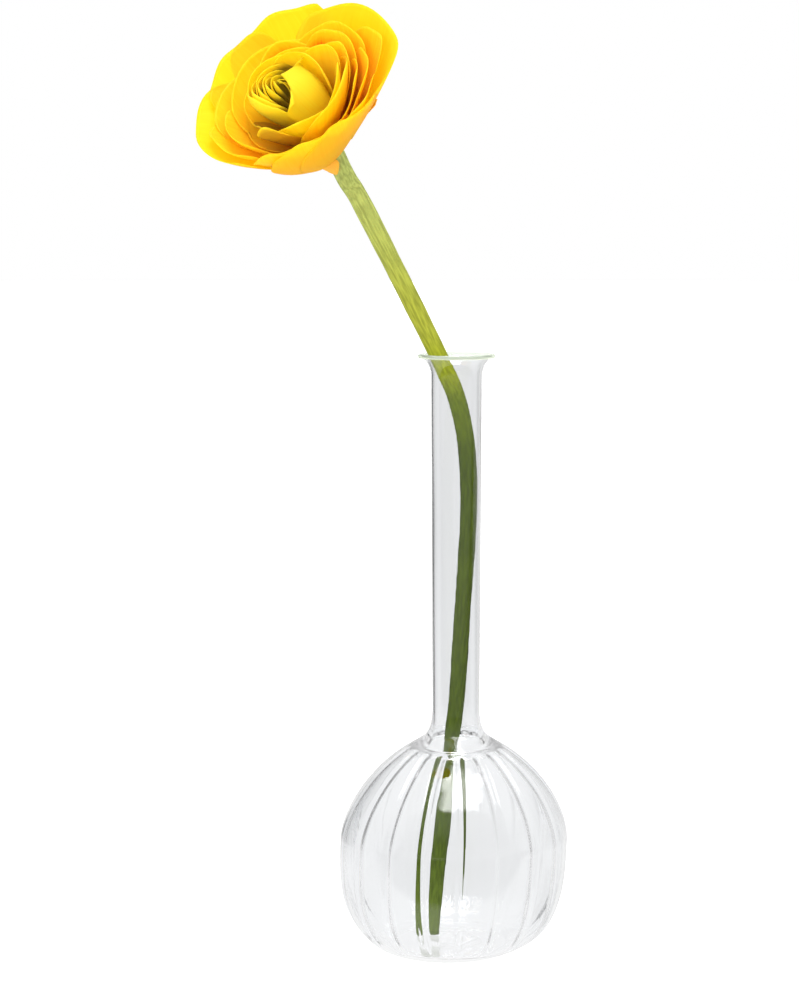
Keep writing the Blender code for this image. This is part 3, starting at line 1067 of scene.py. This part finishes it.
def build_floor():
    """White sheet under the vase. What the glass shows of it ends a little in front of the vase,
    so that the foot has dark lines."""
    bpy.ops.mesh.primitive_circle_add(vertices=96, radius=6.0, fill_type="NGON")
    floor = bpy.context.object
    floor.name = "floor"
    s = Shader("floor")
    lit = s.add("ShaderNodeBsdfDiffuse", {"Color": (0.8, 0.8, 0.8, 1.0)}).outputs[0]
    path = s.add("ShaderNodeLightPath")
    glow = s.add("ShaderNodeEmission", {"Color": (1, 1, 1, 1), "Strength": 0.35}).outputs[0]
    seen = s.add("ShaderNodeAddShader", {0: lit, 1: glow}).outputs[0]
    place = s.add("ShaderNodeNewGeometry").outputs["Position"]
    x, y, _ = s.add("ShaderNodeSeparateXYZ", {"Vector": place}).outputs
    away = s.add("ShaderNodeVectorMath", {0: place}, operation="LENGTH").outputs["Value"]
    near = s.span(away, 0.25, 1.1, 1.0, 0.0)
    under = s.span(away, 0.15, 0.30, 1.0, 0.0)
    sheet = s.blend(s.math("MULTIPLY", near, 0.07), backdrop(s, x, y), grey(1.0), "ADD")
    sheet = s.blend(under, sheet, grey(0.935))
    edge = s.span(y, -0.085, -0.070)
    beyond = s.span(y, -0.3, -0.6)
    foreground = s.blend(straight(s), s.blend(beyond, grey(0.12), grey(0.45)), grey(0.9))
    sheet = s.blend(edge, foreground, sheet)
    level = s.blend(path.outputs["Is Diffuse Ray"], sheet, grey(1.35))
    mirrored = s.add("ShaderNodeEmission", {"Color": level}).outputs[0]
    surface = s.mixed(path.outputs["Is Camera Ray"], mirrored, seen)
    floor.data.materials.append(s.surface(surface))


def area_light(name, place, target, size, power):
    data = bpy.data.lights.new(name, "AREA")
    data.shape = "RECTANGLE"
    data.size, data.size_y = size
    data.energy = power
    obj = bpy.data.objects.new(name, data)
    obj.location = place
    obj.rotation_euler = (Vector(target) - Vector(place)).to_track_quat("-Z", "Y").to_euler()
    bpy.context.scene.collection.objects.link(obj)
    return obj


def build_lights():
    """Two weak soft lights that shape the flower. The glass shows the backdrop and not them."""
    lights = (
        area_light("softbox", (-0.55, -0.95, 0.62), (0.0, 0.0, 0.2), (0.9, 0.7), 6.0),
        area_light("top_light", (-0.40, -0.10, 1.2), (0.0, 0.0, 0.15), (1.2, 1.2), 1.5),
    )
    for light in lights:
        light.visible_glossy = False
        light.visible_transmission = False


def build_camera():
    data = bpy.data.cameras.new("camera")
    data.sensor_width = CAMERA_SENSOR
    data.lens = CAMERA_LENS
    camera = bpy.data.objects.new("camera", data)
    camera.location = CAMERA_PLACE
    aim = Vector(CAMERA_TARGET) - camera.location
    camera.rotation_euler = aim.to_track_quat("-Z", "Y").to_euler()
    bpy.context.scene.collection.objects.link(camera)
    bpy.context.scene.camera = camera


def main():
    clear_scene()
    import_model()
    green = stem_material()
    build_glass(glass_material())
    build_stem(green)
    build_receptacle(green)
    build_carpels(carpel_material())
    build_sepals(sepal_material())
    build_petals(petal_material())
    build_world()
    build_floor()
    build_lights()
    build_camera()
    bpy.context.scene.view_settings.view_transform = "Standard"
    bpy.context.scene.cycles.max_bounces = LIGHT_BOUNCES
    bpy.context.scene.cycles.glossy_bounces = LIGHT_BOUNCES
    bpy.context.scene.cycles.transmission_bounces = LIGHT_BOUNCES


main()
